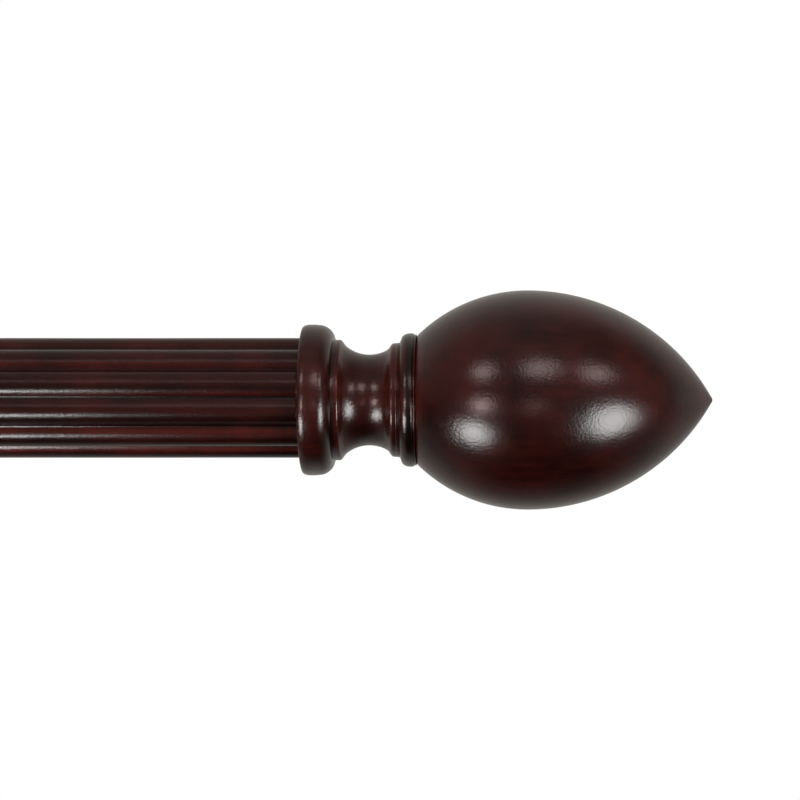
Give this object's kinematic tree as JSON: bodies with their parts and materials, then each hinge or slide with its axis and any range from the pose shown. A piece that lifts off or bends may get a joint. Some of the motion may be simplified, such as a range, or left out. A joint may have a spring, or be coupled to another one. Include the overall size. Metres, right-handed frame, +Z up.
{
  "type": "curtain rod with brackets",
  "caption": "Reeded wooden curtain pole with turned teardrop finials that unscrew, resting in two turned wall brackets with open cups and set screws.",
  "frame": {"origin": "on the wall plane, midway between the two brackets, level with the pole's axis", "axes": "+X along the pole, +Y into the wall, +Z up"},
  "size_m": [0.8452, 0.156, 0.064],
  "materials": {
    "mahogany": "dark red mahogany stain under satin-gloss lacquer",
    "bare_wood": "unfinished",
    "zinc": "zinc plated",
    "brass": "plain turned"
  },
  "bodies": {
    "wall_brackets": {"wall_plate_right": "zinc", "rosette_right": "mahogany", "arm_right": "mahogany", "arm_bolt_right": "zinc", "arm_insert_right": "brass", "arm_dowel_right": "bare_wood", "cup_right": "mahogany", "cup_insert_right": "brass", "wall_screw_upper_right": "zinc", "wall_screw_lower_right": "zinc", "wall_plate_left": "zinc", "rosette_left": "mahogany", "arm_left": "mahogany", "arm_bolt_left": "zinc", "arm_insert_left": "brass", "arm_dowel_left": "bare_wood", "cup_left": "mahogany", "cup_insert_left": "brass", "wall_screw_upper_left": "zinc", "wall_screw_lower_left": "zinc"},
    "pole": {"pole": "mahogany", "pole_insert_right": "brass", "pole_insert_left": "brass"},
    "stud_right": {"finial_stud_right": "zinc"},
    "finial_right": {"finial_base_right": "mahogany", "finial_bulb_right": "mahogany", "finial_dowel_right": "bare_wood"},
    "stud_left": {"finial_stud_left": "zinc"},
    "finial_left": {"finial_base_left": "mahogany", "finial_bulb_left": "mahogany", "finial_dowel_left": "bare_wood"},
    "set_screw_right": {"set_screw_right": "brass"},
    "set_screw_left": {"set_screw_left": "brass"}
  },
  "joints": [
    {"name": "pole_lift", "type": "slide", "parent": "wall_brackets", "child": "pole", "axis": [0, 0, 1], "range_m": [0, 0.045]},
    {"name": "stud_right_slide", "type": "slide", "parent": "pole", "child": "stud_right", "axis": [1, 0, 0], "range_m": [0, 0.016]},
    {"name": "finial_right_turn", "type": "hinge", "parent": "stud_right", "child": "finial_right", "pos_m": [0.305, -0.089, -0.0006], "axis": [1, 0, 0], "range_deg": [0, 4080]},
    {"name": "stud_left_slide", "type": "slide", "parent": "pole", "child": "stud_left", "axis": [-1, 0, 0], "range_m": [0, 0.016]},
    {"name": "finial_left_turn", "type": "hinge", "parent": "stud_left", "child": "finial_left", "pos_m": [-0.305, -0.089, -0.0006], "axis": [-1, 0, 0], "range_deg": [0, 4080]},
    {"name": "set_screw_right_slide", "type": "slide", "parent": "wall_brackets", "child": "set_screw_right", "axis": [0, 0, -1], "range_m": [0, 0.004]},
    {"name": "set_screw_left_slide", "type": "slide", "parent": "wall_brackets", "child": "set_screw_left", "axis": [0, 0, -1], "range_m": [0, 0.004]}
  ],
  "couplings": [
    {"joint": "stud_right_slide", "follows": "finial_right_turn", "m_per_rad": 0.00022458},
    {"joint": "stud_left_slide", "follows": "finial_left_turn", "m_per_rad": 0.00022458}
  ]
}
